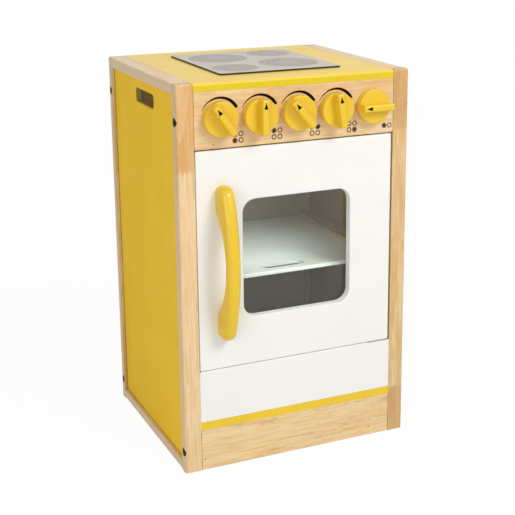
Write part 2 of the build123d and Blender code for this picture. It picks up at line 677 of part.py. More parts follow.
with BuildPart() as door_panel:
    with BuildSketch(facing_front(FRONT)):
        area((DOOR_LEFT, DOOR_BOTTOM), (DOOR_RIGHT, DOOR_TOP), CORNER_R)
        with Locations((0, DOOR_MID_Z)):
            RectangleRounded(WINDOW_W, WINDOW_H, WINDOW_R, mode=Mode.SUBTRACT)
    extrude(amount=-DOOR_T)
    fillet(door_panel.faces().sort_by(Axis.Y)[0].edges(), DOOR_EDGE_R)
    # Rebate behind the window for the pane.
    with BuildSketch(facing_front(DOOR_BACK)):
        with Locations((0, DOOR_MID_Z)):
            RectangleRounded(2 * REBATE_X, 2 * REBATE_Z, WINDOW_R + PANE_LEDGE)
    extrude(amount=PANE_T, mode=Mode.SUBTRACT)
    for x, z in PANE_SCREW_SPOTS:
        with Locations(looking((x, DOOR_BACK, z), (0, 1, 0))):
            Hole(PANE_SCREW_R + DOWEL_PLAY, depth=PANE_SCREW_L - WASHER_T)
    for z in HANDLE_SCREW_LEVELS:
        with Locations(looking((HANDLE_X, DOOR_BACK, z), (0, 1, 0))):
            CounterSinkHole(HANDLE_SCREW_R + DOWEL_PLAY, HANDLE_HEAD_R + DOWEL_PLAY, DOOR_T, 90)
    for z, way in ((DOOR_BOTTOM, -1), (DOOR_TOP, 1)):
        with Locations(looking((PIVOT_X, PIVOT_Y, z), (0, 0, way))):
            CounterBoreHole(BUSH_R, FLANGE_R, FLANGE_T, depth=BUSH_L + BUSH_END)
    trench(
        (HANDLE_X - STRIKE_W / 2, HANDLE_X + STRIKE_W / 2),
        (DOOR_BACK - STRIKE_T, DOOR_BACK),
        (STRIKE_Z - STRIKE_H / 2, STRIKE_Z + STRIKE_H / 2),
    )
    with Locations(looking((HANDLE_X, DOOR_BACK - STRIKE_T, STRIKE_Z), (0, 1, 0))):
        Hole(PLATE_SCREW_R + DOWEL_PLAY, depth=STRIKE_SCREW_L - STRIKE_T)
save(door_panel, "door_panel")

with BuildPart() as window_pane:
    with BuildSketch(facing_front(DOOR_BACK)):
        with Locations((0, DOOR_MID_Z)):
            RectangleRounded(
                2 * (REBATE_X - PANE_PLAY), 2 * (REBATE_Z - PANE_PLAY),
                WINDOW_R + PANE_LEDGE - PANE_PLAY,
            )
    extrude(amount=PANE_T)
save(window_pane, "window_pane")

with BuildPart() as pane_washer:
    with BuildSketch(Plane.XY):
        Circle(WASHER_R)
        Circle(PANE_SCREW_R + DOWEL_PLAY, mode=Mode.SUBTRACT)
    extrude(amount=WASHER_T)

washer_planes = [looking((x, DOOR_BACK, z), (0, 1, 0)) for x, z in PANE_SCREW_SPOTS]
save(copies(pane_washer, washer_planes), "pane_washers")
pane_screw = pan_screw(PANE_SCREW_R, PANE_HEAD_R, PANE_HEAD_H, PANE_SCREW_L)
screw_planes = [looking((x, DOOR_BACK + WASHER_T, z), (0, 1, 0)) for x, z in PANE_SCREW_SPOTS]
save(copies(pane_screw, screw_planes), "pane_screws")

# Bow handle, seen from the side as a long arc with an arched finger opening.
with BuildPart() as door_handle:
    with BuildSketch(Plane.YZ.offset(HANDLE_X - HANDLE_W / 2)) as bow:
        crown = (FRONT - HANDLE_OUT, DOOR_MID_Z)
        arch_crown = (FRONT - ARCH_RISE, DOOR_MID_Z)
        low_end = (FRONT - HANDLE_END, DOOR_MID_Z - HANDLE_HALF)
        high_end = (FRONT - HANDLE_END, DOOR_MID_Z + HANDLE_HALF)
        low_foot = (FRONT, DOOR_MID_Z - HANDLE_FOOT)
        high_foot = (FRONT, DOOR_MID_Z + HANDLE_FOOT)
        low_spring = (FRONT, DOOR_MID_Z - ARCH_HALF)
        high_spring = (FRONT, DOOR_MID_Z + ARCH_HALF)
        with BuildLine():
            Polyline(low_spring, low_foot, low_end)
            ThreePointArc(low_end, crown, high_end)
            Polyline(high_end, high_foot, high_spring)
            ThreePointArc(high_spring, arch_crown, low_spring)
        make_face()
        ends = bow.vertices().filter_by(lambda corner: abs(corner.X - low_end[0]) < 0.1)
        fillet(ends, HANDLE_END_R)
    extrude(amount=HANDLE_W)
    rim = door_handle.faces().filter_by(Axis.X).edges()
    arch_rim = rim.filter_by(lambda edge: abs(edge.position_at(0.5).Y - arch_crown[0]) < 0.1)
    bow_rim = rim.filter_by(
        lambda edge: edge.position_at(0.5).Y < FRONT - 1 and edge not in arch_rim
    )
    fillet(bow_rim, HANDLE_FRONT_R)
    arch_edges = door_handle.edges().filter_by(
        lambda edge: abs(edge.position_at(0.5).Y - arch_crown[0]) < 0.1
        and abs(abs(edge.position_at(0.5).X - HANDLE_X) - HANDLE_W / 2) < 0.1
    )
    fillet(arch_edges, ARCH_R)
    for z in HANDLE_SCREW_LEVELS:
        with Locations(looking((HANDLE_X, FRONT, z), (0, 1, 0))):
            Hole(HANDLE_SCREW_R + DOWEL_PLAY, depth=HANDLE_SCREW_GRIP)
save(door_handle, "door_handle")

handle_screw = sunk_screw(HANDLE_SCREW_R, HANDLE_HEAD_R, DOOR_T + HANDLE_SCREW_GRIP)
handle_screw_planes = [looking((HANDLE_X, DOOR_BACK, z), (0, 1, 0)) for z in HANDLE_SCREW_LEVELS]
save(copies(handle_screw, handle_screw_planes), "handle_screws")

# --------------------------------------------------------------- pivot hinges
# The lower plate is drawn on the +Z side of the pivot's foot; the upper plate
# is the same part turned over, with its pin pointing down into the door.
with BuildPart() as pivot_plate:
    with BuildSketch(Plane.XY):
        area((-PLATE_TAIL, -PLATE_W / 2), (PLATE_NOSE, PLATE_W / 2), CORNER_R)
    extrude(amount=PLATE_T)
    for along in PLATE_SCREW_AT:
        with Locations(looking((along, 0, PLATE_T), (0, 0, 1))):
            CounterSinkHole(PLATE_SCREW_R + DOWEL_PLAY, PLATE_HEAD_R + DOWEL_PLAY, None, 90)
    with BuildSketch(Plane.XY.offset(PLATE_T)):
        Circle(PIN_R)
    extrude(amount=PIN_L)
    chamfer(pivot_plate.faces().sort_by(Axis.Z)[-1].edges(), PIN_R / 5)

lower_plate_z = LOWER_TOP - PLATE_SINK
upper_plate_z = CONTROL_BOTTOM + PLATE_SINK
lower_seat = Plane(origin=(PIVOT_X, PIVOT_Y, lower_plate_z), x_dir=(1, 0, 0), z_dir=(0, 0, 1))
upper_seat = Plane(origin=(PIVOT_X, PIVOT_Y, upper_plate_z), x_dir=(1, 0, 0), z_dir=(0, 0, -1))
save(copies(pivot_plate, [lower_seat]), "lower_pivot_plate")
save(copies(pivot_plate, [upper_seat]), "upper_pivot_plate")

plate_screw = sunk_screw(PLATE_SCREW_R, PLATE_HEAD_R, PLATE_SCREW_L)
plate_screw_planes = []
for along in PLATE_SCREW_AT:
    low_spot = (PIVOT_X + along, PIVOT_Y, lower_plate_z + PLATE_T)
    high_spot = (PIVOT_X + along, PIVOT_Y, upper_plate_z - PLATE_T)
    plate_screw_planes.append(looking(low_spot, (0, 0, 1)))
    plate_screw_planes.append(looking(high_spot, (0, 0, -1)))
save(copies(plate_screw, plate_screw_planes), "pivot_plate_screws")

with BuildPart() as bush:
    with BuildSketch(Plane.XY):
        Circle(FLANGE_R)
    extrude(amount=-FLANGE_T)
    with BuildSketch(Plane.XY.offset(-FLANGE_T)):
        Circle(BUSH_R - DOWEL_PLAY)
    extrude(amount=FLANGE_T - BUSH_L)
    with Locations(looking((0, 0, 0), (0, 0, 1))):
        Hole(PIN_R + RUN_CLEAR)
save(copies(bush, [looking((PIVOT_X, PIVOT_Y, DOOR_BOTTOM), (0, 0, -1))]), "lower_pivot_bush")
save(copies(bush, [looking((PIVOT_X, PIVOT_Y, DOOR_TOP), (0, 0, 1))]), "upper_pivot_bush")

# ------------------------------------------------------------- magnetic catch
CATCH_TOP = CONTROL_BOTTOM + CATCH_UP
CATCH_BOTTOM = CONTROL_BOTTOM - CATCH_DOWN
CATCH_FACE = DOOR_BACK + CATCH_AIR
MAGNET_Z = CATCH_BOTTOM + MAGNET_UP + MAGNET_H / 2

with BuildPart() as catch_housing:
    with BuildSketch(Plane.YZ.offset(HANDLE_X - CATCH_W / 2)) as catch_side:
        with BuildLine():
            Polyline(
                (POST_BACK, CATCH_TOP), (POST_BACK, CONTROL_BOTTOM), (CATCH_FACE, CONTROL_BOTTOM),
                (CATCH_FACE, CATCH_BOTTOM), (POST_BACK + CATCH_D, CATCH_BOTTOM),
                (POST_BACK + CATCH_D, CATCH_TOP), close=True,
            )
        make_face()
        fillet(catch_side.vertices().group_by(Axis.X)[-1], CORNER_R)
    extrude(amount=CATCH_W)
    trench(
        (HANDLE_X - MAGNET_W / 2, HANDLE_X + MAGNET_W / 2),
        (CATCH_FACE, CATCH_FACE + MAGNET_D),
        (MAGNET_Z - MAGNET_H / 2, MAGNET_Z + MAGNET_H / 2),
    )
    for side in (-1, 1):
        hole_at = (HANDLE_X + side * CATCH_SCREW_AT, POST_BACK + CATCH_D, CONTROL_BOTTOM + CATCH_UP / 2)
        with Locations(looking(hole_at, (0, 1, 0))):
            Hole(CATCH_SCREW_R + DOWEL_PLAY)
save(catch_housing, "catch_housing")

with BuildPart() as catch_magnet:
    with BuildSketch(facing_front(CATCH_FACE)):
        with Locations((HANDLE_X, MAGNET_Z)):
            Rectangle(MAGNET_W, MAGNET_H)
    extrude(amount=-MAGNET_D)
save(catch_magnet, "catch_magnet")

catch_screw = pan_screw(CATCH_SCREW_R, PANE_HEAD_R, PANE_HEAD_H, CATCH_D + CATCH_SCREW_L)
catch_screw_planes = [
    looking((HANDLE_X + side * CATCH_SCREW_AT, POST_BACK + CATCH_D, CONTROL_BOTTOM + CATCH_UP / 2), (0, 1, 0))
    for side in (-1, 1)
]
save(copies(catch_screw, catch_screw_planes), "catch_screws")

with BuildPart() as strike_plate:
    with BuildSketch(facing_front(DOOR_BACK)):
        with Locations((HANDLE_X, STRIKE_Z)):
            Rectangle(STRIKE_W, STRIKE_H)
    extrude(amount=STRIKE_T)
    with Locations(looking((HANDLE_X, DOOR_BACK, STRIKE_Z), (0, 1, 0))):
        CounterSinkHole(PLATE_SCREW_R + DOWEL_PLAY, PLATE_HEAD_R + DOWEL_PLAY, None, 90)
save(strike_plate, "strike_plate")

strike_screw = sunk_screw(PLATE_SCREW_R, PLATE_HEAD_R, STRIKE_SCREW_L)
save(copies(strike_screw, [looking((HANDLE_X, DOOR_BACK, STRIKE_Z), (0, 1, 0))]), "strike_screw")

# ---------------------------------------------------------------------- knobs
# Each knob turns with its own screw, which runs through the control panel and
# holds a washer behind it.
spindle_length = SPINDLE_GRIP + KNOB_AIR + STOCK_T + KNOB_AIR + KNOB_WASHER_T
spindle = pan_screw(SPINDLE_R, SPINDLE_HEAD_R, SPINDLE_HEAD_H, spindle_length)

with BuildPart() as knob_washer:
    with BuildSketch(Plane.XY):
        Circle(KNOB_WASHER_R)
        Circle(SPINDLE_R + DOWEL_PLAY, mode=Mode.SUBTRACT)
    extrude(amount=-KNOB_WASHER_T)


def knob(x, angle):
    """Turned knob with a grip ridge right across it, set to an angle."""
    upright = Plane(origin=(x, FRONT - KNOB_AIR, KNOB_Z), x_dir=(1, 0, 0), z_dir=(0, -1, 0))
    seat = upright.rotated((0, -angle, 0))
    turning_axis = Axis(seat.origin, seat.z_dir)
    lengthwise = Plane(origin=seat.origin, x_dir=seat.x_dir, z_dir=-seat.y_dir)
    with BuildPart() as turned:
        # Ridge: a rounded section drawn right across, trimmed to the knob's round.
        with BuildSketch(lengthwise) as ridge:
            area((-RIDGE_W / 2, 0), (RIDGE_W / 2, KNOB_H))
            fillet(ridge.vertices().group_by(Axis.Y)[-1], RIDGE_R)
        extrude(amount=KNOB_R, both=True)
        with BuildSketch(lengthwise) as round_limit:
            area((0, 0), (KNOB_R, KNOB_H))
            rim = round_limit.vertices().sort_by_distance((0, 0, 0))[-1]
            fillet(rim, RIDGE_R)
        revolve(axis=turning_axis, mode=Mode.INTERSECT)
        with BuildSketch(lengthwise) as base:
            area((0, 0), (KNOB_R, KNOB_BASE_H))
            rim = base.vertices().sort_by_distance((0, 0, 0))[-1]
            fillet(rim, KNOB_EDGE_R)
        revolve(axis=turning_axis)
        with BuildSketch(seat):
            Circle(SPINDLE_R + DOWEL_PLAY)
        extrude(amount=SPINDLE_GRIP, mode=Mode.SUBTRACT)
    return turned


for number, (x, angle) in enumerate(zip(KNOB_XS, KNOB_ANGLES), start=1):
    behind = POST_BACK + KNOB_AIR + KNOB_WASHER_T
    save(knob(x, angle), f"knob_{number}")
    save(copies(knob_washer, [looking((x, behind, KNOB_Z), (0, 1, 0))]), f"knob_{number}_washer")
    save(copies(spindle, [looking((x, behind, KNOB_Z), (0, 1, 0))]), f"knob_{number}_screw")
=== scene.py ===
"""Toy oven: finishes, printed marks, light and camera round the CAD frame."""

import bpy
import bmesh
import math
from mathutils import Matrix, Vector


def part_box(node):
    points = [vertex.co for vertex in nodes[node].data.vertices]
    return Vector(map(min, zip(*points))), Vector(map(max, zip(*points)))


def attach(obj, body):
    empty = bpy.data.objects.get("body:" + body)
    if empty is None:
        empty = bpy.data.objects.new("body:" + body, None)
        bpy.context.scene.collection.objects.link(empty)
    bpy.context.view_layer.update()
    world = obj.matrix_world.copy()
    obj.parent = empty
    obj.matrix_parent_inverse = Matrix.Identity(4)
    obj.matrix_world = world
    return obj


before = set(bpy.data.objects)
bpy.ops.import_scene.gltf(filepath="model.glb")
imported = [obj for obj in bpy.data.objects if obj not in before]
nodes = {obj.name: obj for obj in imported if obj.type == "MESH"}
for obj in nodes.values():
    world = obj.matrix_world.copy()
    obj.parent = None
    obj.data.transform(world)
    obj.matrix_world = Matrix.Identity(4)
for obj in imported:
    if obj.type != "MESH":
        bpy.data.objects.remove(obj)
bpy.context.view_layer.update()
scene = bpy.context.scene
MM = 0.001

# ---------------------------------------------------------------------- camera
# The photograph is taken from the front left, a little above the hob.
CAMERA_DOWN = 14.91       # degrees below level
CAMERA_TURN = -25.55      # degrees about the upright, from straight at the front

camera_data = bpy.data.cameras.new("camera")
camera_data.sensor_width = 36.0
camera_data.lens = 82.73
camera_data.shift_x = -0.1
camera_data.shift_y = -0.1
camera = bpy.data.objects.new("camera", camera_data)
camera.location = (-0.6933, -1.6228, 0.8200)
camera.rotation_euler = (math.radians(90 - CAMERA_DOWN), 0, math.radians(CAMERA_TURN))
scene.collection.objects.link(camera)
scene.camera = camera

# ------------------------------------------------------- places from the frame
PANEL_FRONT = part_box("control_panel")[0].y
KNOB_Z = sum(corner.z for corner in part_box("knob_2")) / 2
KNOB_XS = [sum(corner.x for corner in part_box(f"knob_{n}_washer")) / 2 for n in range(1, 6)]
KNOB_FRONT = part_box("knob_2")[0].y
KNOB_ANGLES = (35.0, 0.0, 40.0, 8.0, 90.0)    # degrees anticlockwise from straight up
SIDE_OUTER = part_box("right_side_panel")[1].x


# ------------------------------------------------------------- material tools
RESIN_IOR = 1.5           # typical of lacquer, ink, plastic and pressed board


def linear(code):
    """An sRGB hex colour as linear light, with full alpha."""
    shares = [int(code[at:at + 2], 16) / 255 for at in (1, 3, 5)]
    toned = [s / 12.92 if s <= 0.04045 else ((s + 0.055) / 1.055) ** 2.4 for s in shares]
    return (*toned, 1.0)


def darker(tone, share):
    """A linear colour with its light cut to a share."""
    return (*(share * part for part in tone[:3]), 1.0)


def add_node(tree, kind, inputs=None, **settings):
    """Add a node with its settings.

    Each input takes a constant, a link, or a node whose first output in use is linked."""
    made = tree.nodes.new(kind)
    for name, value in settings.items():
        setattr(made, name, value)
    for socket, value in (inputs or {}).items():
        if isinstance(value, bpy.types.Node):
            value = next(output for output in value.outputs if output.enabled)
        if isinstance(value, bpy.types.NodeSocket):
            tree.links.new(value, made.inputs[socket])
        else:
            made.inputs[socket].default_value = value
    return made


def new_material(name):
    """An empty node material and its tree."""
    material = bpy.data.materials.new(name)
    material.use_nodes = True
    material.node_tree.nodes.clear()
    return material, material.node_tree


def finish_material(tree, surface):
    """Link the last shader to the output."""
    add_node(tree, "ShaderNodeOutputMaterial", {"Surface": surface})


def dress(names, material):
    """Give CAD nodes their material."""
    for name in names:
        slots = nodes[name].material_slots
        if not slots:
            nodes[name].data.materials.append(material)
        for slot in slots:
            slot.material = material


def lay_over(tree, colour, tone, value, start=0.0, end=1.0, strength=1.0):
    """Lay a tone over a colour where a value goes from start to end, up to strength.

    Inputs 6 and 7 of the last node are its two colours."""
    share = add_node(tree, "ShaderNodeMapRange", {
        "Value": value, "From Min": start, "From Max": end, "To Max": strength,
    })
    return add_node(tree, "ShaderNodeMix", {0: share, 6: colour, 7: tone}, data_type="RGBA")


LINE_SOFT_MM = 0.3        # softness of a joint line's edge
LINE_STRENGTH = 0.75


def joint_and_shade_line(tree, coords, colour, name, reaches, line):
    """Darken a board's rim: a fine dark joint where it meets its neighbours, with
    painted shade as well where the rim lies in a recess.

    reaches says for an axis how many mm the rim runs in from the ends of the box."""
    low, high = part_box(name)
    place = add_node(tree, "ShaderNodeSeparateXYZ", {"Vector": coords})
    for axis, reach in reaches.items():
        at = "XYZ".index(axis)
        middle = (low[at] + high[at]) / 2
        edge = (high[at] - low[at]) / 2 - reach * MM
        soft = LINE_SOFT_MM * MM
        off = add_node(tree, "ShaderNodeMath", {0: place.outputs[axis], 1: middle}, operation="SUBTRACT")
        off = add_node(tree, "ShaderNodeMath", {0: off}, operation="ABSOLUTE")
        colour = lay_over(
            tree, colour, line, off, start=edge - soft, end=edge + soft, strength=LINE_STRENGTH,
        )
    return colour


# ------------------------------------------------------------------ rubberwood
# Solid rubberwood under satin lacquer, planed and sanded: pale straw with a
# warm cast, long soft figure, fine broken pores along the grain, and staves of
# slightly different tone that meet in finger joints.
STRAW = linear("#eccb98")
HONEY = linear("#dcab6e")
PALE = linear("#f2dab0")
PORE = linear("#b07f49")
STREAK = linear("#cf9f60")
WARM_STAVE = linear("#d8a35c")
PAINTED_SIDE_SHADE = linear("#cdb077")
# painted shade on faces turned to the sides: darker and more olive
END_GRAIN = linear("#cfa878")
FLAME = linear("#a5854d")
FLECK = linear("#8a5a34")
BUTT_LINE = linear("#6b4c28")
TONE_MM = 55.0            # spacing of the slow changes of tone
FIGURE_MM = 9.0           # spacing of the growth figure across the grain
FIGURE_RUN = 7.0          # the figure is this many times as long as wide
STREAK_MM = 3.5           # spacing of its thin darker lines
STREAK_RUN = 22.0
PORE_MM = 1.8             # real pores are 0.3 mm; drawn coarser so that they show
PORE_RUN = 30.0
PORE_DEPTH_MM = 0.25
FLAME_MM = 5.0            # width of the short dark marks of a flamed board
FLECK_CORE_MM = 0.7       # radius of a speck's dark middle
FLECK_RIM_MM = 1.5        # radius at which its soft rim ends
FINGER_MM = 2.5           # half the spacing of a finger joint's teeth
FINGER_SLOPE = 2.5        # length of a tooth over half its spacing
WORN_MM = 3.0             # how far the tips of the teeth stray
JOINT_SOFT_MM = 2.5       # softness of the change of tone at the teeth
BUTT_MM = 0.8             # dark joint at a board's end; drawn coarser than its 0.3 mm
FACE_FROM = 0.8           # part of the normal along an axis at which a face starts to
FACE_TO = 0.98            # count as facing that way, and counts in full
SATIN_FROM = 0.36         # roughness of the satin lacquer over the figure
SATIN_TO = 0.48
SEED_SHIFT = (0.37, 0.23, 0.61)    # metres in the grain from one seed to the next


def rubberwood(
    name, grain, seed, honey=0.3, joints=(), warm=WARM_STAVE, flecks=(), straw=STRAW,
    flamed=0.0, butts=None,
):
    """Rubberwood with its grain along an axis.

    honey is how much of the board is warm, and straw its lighter ground. joints are
    (height in mm, side) of finger joints: the stave above one with side 1, or below
    one with side -1, has the warm tone. flecks are points of dark specks in mm.
    flamed is how strongly the flame marks show. butts is the node whose ends butt
    on posts."""
    material, tree = new_material(name)
    along = "XYZ".index(grain)
    coords = add_node(tree, "ShaderNodeTexCoord").outputs["Object"]
    drawn_out = {}
    for run in (FIGURE_RUN, STREAK_RUN, PORE_RUN):
        squeeze = [1.0, 1.0, 1.0]
        squeeze[along] = 1 / run
        drawn_out[run] = add_node(tree, "ShaderNodeMapping", {
            "Vector": coords, "Location": [seed * part for part in SEED_SHIFT], "Scale": squeeze,
        })
    tone = add_node(tree, "ShaderNodeTexNoise", {
        "Vector": drawn_out[FIGURE_RUN], "Scale": 1 / (TONE_MM * MM), "Detail": 3.0,
        "Roughness": 0.45,
    })
    figure = add_node(tree, "ShaderNodeTexNoise", {
        "Vector": drawn_out[FIGURE_RUN], "Scale": 1 / (FIGURE_MM * MM), "Detail": 2.0,
        "Distortion": 1.2,
    })
    streaks = add_node(tree, "ShaderNodeTexNoise", {
        "Vector": drawn_out[STREAK_RUN], "Scale": 1 / (STREAK_MM * MM), "Detail": 3.0,
        "Roughness": 0.6, "Distortion": 0.4,
    })
    pores = add_node(tree, "ShaderNodeTexNoise", {
        "Vector": drawn_out[PORE_RUN], "Scale": 1 / (PORE_MM * MM), "Detail": 2.5,
        "Roughness": 0.6,
    })

    # In a warmer board the honey tone starts earlier and comes in more softly.
    colour = lay_over(
        tree, straw, HONEY, tone, start=0.62 - 0.4 * honey, end=0.86 - 0.3 * honey,
    )
    colour = lay_over(tree, colour, PALE, figure, start=0.42, end=0.62, strength=0.45)
    colour = lay_over(tree, colour, STREAK, streaks, start=0.48, end=0.70, strength=0.45)

    # A warm stave meets its neighbour in worn teeth and is warmer along the figure.
    for height, side in joints:
        place = add_node(tree, "ShaderNodeSeparateXYZ", {"Vector": coords})
        teeth = add_node(
            tree, "ShaderNodeMath", {0: place.outputs[(along + 1) % 3], 1: FINGER_MM * MM},
            operation="PINGPONG",
        )
        reach = add_node(
            tree, "ShaderNodeMath", {0: teeth, 1: FINGER_SLOPE, 2: place.outputs[along]},
            operation="MULTIPLY_ADD",
        )
        worn = add_node(tree, "ShaderNodeMapRange", {
            "Value": streaks, "From Min": 0.3, "From Max": 0.7,
            "To Min": -WORN_MM * MM, "To Max": WORN_MM * MM,
        })
        reach = add_node(tree, "ShaderNodeMath", {0: reach, 1: worn}, operation="ADD")
        warmth = add_node(tree, "ShaderNodeMapRange", {
            "Value": figure, "From Min": 0.38, "From Max": 0.62, "To Min": 0.4, "To Max": 0.95,
        })
        colour = lay_over(
            tree, colour, warm, reach, start=(height - side * JOINT_SOFT_MM) * MM,
            end=(height + side * JOINT_SOFT_MM) * MM, strength=warmth,
        )

    if flamed:
        flames = add_node(tree, "ShaderNodeTexNoise", {
            "Vector": drawn_out[FIGURE_RUN], "Scale": 1 / (FLAME_MM * MM), "Detail": 4.0,
            "Roughness": 0.6, "Distortion": 2.0,
        })
        patches = add_node(tree, "ShaderNodeMapRange", {
            "Value": tone, "From Min": 0.42, "From Max": 0.58, "To Max": flamed,
        })
        colour = lay_over(tree, colour, FLAME, flames, start=0.53, end=0.68, strength=patches)

    colour = lay_over(tree, colour, PORE, pores, start=0.56, end=0.74, strength=0.32)
    for point in flecks:
        gap = add_node(
            tree, "ShaderNodeVectorMath", {0: coords, 1: [axis * MM for axis in point]},
            operation="DISTANCE",
        )
        colour = lay_over(
            tree, colour, FLECK, gap, start=FLECK_RIM_MM * MM, end=FLECK_CORE_MM * MM, strength=0.8,
        )

    # Faces turned to the sides get a painted shade, darker and more olive. End grain
    # soaks up the lacquer and is a little darker too.
    normal = add_node(tree, "ShaderNodeNewGeometry").outputs["Normal"]
    normal = add_node(tree, "ShaderNodeVectorMath", {0: normal}, operation="ABSOLUTE")
    faces = add_node(tree, "ShaderNodeSeparateXYZ", {"Vector": normal})
    for tone_there, axis, strength in ((PAINTED_SIDE_SHADE, "X", 0.6), (END_GRAIN, grain, 0.3)):
        colour = lay_over(
            tree, colour, tone_there, faces.outputs[axis], start=FACE_FROM, end=FACE_TO,
            strength=strength,
        )

    if butts:
        colour = joint_and_shade_line(tree, coords, colour, butts, {grain: BUTT_MM}, BUTT_LINE)

    sheen = add_node(tree, "ShaderNodeMapRange", {
        "Value": figure, "From Min": 0.3, "From Max": 0.7,
        "To Min": SATIN_FROM, "To Max": SATIN_TO,
    })
    relief = add_node(tree, "ShaderNodeBump", {
        "Height": pores, "Strength": 0.18, "Distance": PORE_DEPTH_MM * MM,
    })
    finish_material(tree, add_node(tree, "ShaderNodeBsdfPrincipled", {
        "Base Color": colour, "Roughness": sheen, "Normal": relief, "IOR": RESIN_IOR,
        "Coat Weight": 0.2, "Coat Roughness": 0.25,
    }))
    return material


dress(["left_front_post"], rubberwood(
    "rubberwood_left_front_post", "Z", seed=1, honey=0.35, joints=[(452, 1)],
))
dress(["right_front_post"], rubberwood(
    "rubberwood_right_front_post", "Z", seed=2, honey=0.45, joints=[(486, 1), (76, -1)],
    warm=linear("#c8995a"), straw=linear("#d8b67b"),
))
dress(["left_rear_post"], rubberwood(
    "rubberwood_left_rear_post", "Z", seed=3, honey=0.3, straw=linear("#d9bb86"),
))
dress(["right_rear_post"], rubberwood(
    "rubberwood_right_rear_post", "Z", seed=4, honey=0.1, straw=linear("#c0a97e"),
))
for rail, grain, seed, honey in (
    ("left_top_rail", "Y", 5, 0.25), ("right_top_rail", "Y", 6, 0.3),
    ("left_bottom_rail", "Y", 7, 0.3), ("right_bottom_rail", "Y", 8, 0.3),
    ("rear_top_rail", "X", 11, 0.3), ("rear_bottom_rail", "X", 12, 0.4),
):
    dress([rail], rubberwood(f"rubberwood_{rail}", grain, seed, honey, butts=rail))
dress(["control_panel"], rubberwood(
    "rubberwood_control_panel", "X", seed=9, honey=0.4, flecks=[(-126.7, -134.5, 484.1)],
    butts="control_panel",
))
dress(["plinth_board"], rubberwood(
    "rubberwood_plinth", "X", seed=10, honey=0.3,
    flecks=[(-149.8, -134.5, 16.9), (120.4, -134.5, 13.1)],
    straw=linear("#ecce98"), flamed=0.55, butts="plinth_board",
))
dress(["left_shelf_runner", "right_shelf_runner"], rubberwood(
    "rubberwood_runners", "Y", seed=13, honey=0.0, straw=linear("#b9a581"),
))
# The dowels are beech, which looks alike but warmer.
dress(["rail_dowels", "board_dowels"], rubberwood("beech_dowels", "Z", seed=14, honey=0.6))


# ----------------------------------------------------------------------- paint
# Sprayed lacquer on board and turned wood: an even colour, a fine orange peel
# that breaks up reflections, and slightly uneven gloss.
HOLD_RIM_MM = 2.2         # the bare colour starts this far in from the outer face, so the walls of the hand hold are darker
PANEL_SIDE_RIM_MM = 6.5   # about 4 mm of a side panel's rim is hidden in its grooves; the rest shows as a joint, widened by painted shade from the recess
PANEL_END_RIM_MM = 5.0    # the rest shows as a joint, drawn coarser so that it shows
TOP_RIM_MM = 0.6          # joints at the ends of the top board
# dark joint round a painted board; on the side panels it is also painted shade from the recess
PANEL_JOINT_SHADE = linear("#5a4216")
MOTTLE_MM = 70.0          # slow changes in the thickness of the coat
PEEL_MM = 2.2             # orange peel is about 1 mm; drawn coarser so that it shows
PEEL_DEPTH_MM = 0.12
GLOSSIER = 0.03           # how far the roughness falls and rises with the mottle
DULLER = 0.04


def paint(
    name, colour, shade, roughness, coat, gloss=0.5, bare=None, edge=None, rim=None, seed=0.0,
):
    """Sprayed paint. shade is its slightly thinner tone and gloss its specular level.

    bare is the board's own colour behind the painted outer face, and edge the tone of
    upright faces: painted shade, darker than the painted sheen of faces that look up. rim is
    the node and the reaches of a dark joint round a board, on the side panels widened by painted shade."""
    material, tree = new_material(name)
    coords = add_node(tree, "ShaderNodeTexCoord").outputs["Object"]
    placed = add_node(tree, "ShaderNodeMapping", {"Vector": coords, "Location": (seed, seed, seed)})
    mottle = add_node(tree, "ShaderNodeTexNoise", {
        "Vector": placed, "Scale": 1 / (MOTTLE_MM * MM), "Detail": 2.0,
    })
    peel = add_node(tree, "ShaderNodeTexNoise", {
        "Vector": placed, "Scale": 1 / (PEEL_MM * MM), "Detail": 1.5,
    })
    coated = lay_over(tree, linear(colour), linear(shade), mottle, start=0.35, end=0.7)
    if bare:
        across = add_node(tree, "ShaderNodeSeparateXYZ", {"Vector": coords}).outputs["X"]
        reach = add_node(tree, "ShaderNodeMath", {0: across}, operation="ABSOLUTE")
        inside = add_node(
            tree, "ShaderNodeMath", {0: reach, 1: SIDE_OUTER - HOLD_RIM_MM * MM}, operation="LESS_THAN",
        )
        coated = lay_over(tree, coated, linear(bare), inside)
    if edge:
        normal = add_node(tree, "ShaderNodeNewGeometry").outputs["Normal"]
        up = add_node(tree, "ShaderNodeSeparateXYZ", {"Vector": normal}).outputs["Z"]
        # Faces that are not turned up get a darker painted shade; faces that look up keep the paler
        # painted sheen.
        coated = lay_over(tree, coated, linear(edge), up, start=0.9, end=0.3)
    if rim:
        coated = joint_and_shade_line(tree, coords, coated, *rim, PANEL_JOINT_SHADE)
    dullness = add_node(tree, "ShaderNodeMapRange", {
        "Value": mottle, "From Min": 0.3, "From Max": 0.7,
        "To Min": roughness - GLOSSIER, "To Max": roughness + DULLER,
    })
    relief = add_node(tree, "ShaderNodeBump", {
        "Height": peel, "Strength": 0.12, "Distance": PEEL_DEPTH_MM * MM,
    })
    finish_material(tree, add_node(tree, "ShaderNodeBsdfPrincipled", {
        "Base Color": coated, "Roughness": dullness, "Normal": relief, "IOR": RESIN_IOR,
        "Specular IOR Level": gloss, "Coat Weight": coat, "Coat Roughness": 0.12,
    }))
    return material


# The side panels' yellow is lighter than the same paint on the front: painted light against the shade on
# the sides.
for side, seed in (("left", 1.3), ("right", 2.9)):
    panel = f"{side}_side_panel"
    dress([panel], paint(
        f"yellow_lacquer_{side}_side", "#ffd436", "#fed032", roughness=0.55, coat=0.0, gloss=0.05,
        bare="#a88c60", rim=(panel, {"Y": PANEL_SIDE_RIM_MM, "Z": PANEL_END_RIM_MM}), seed=seed,
    ))
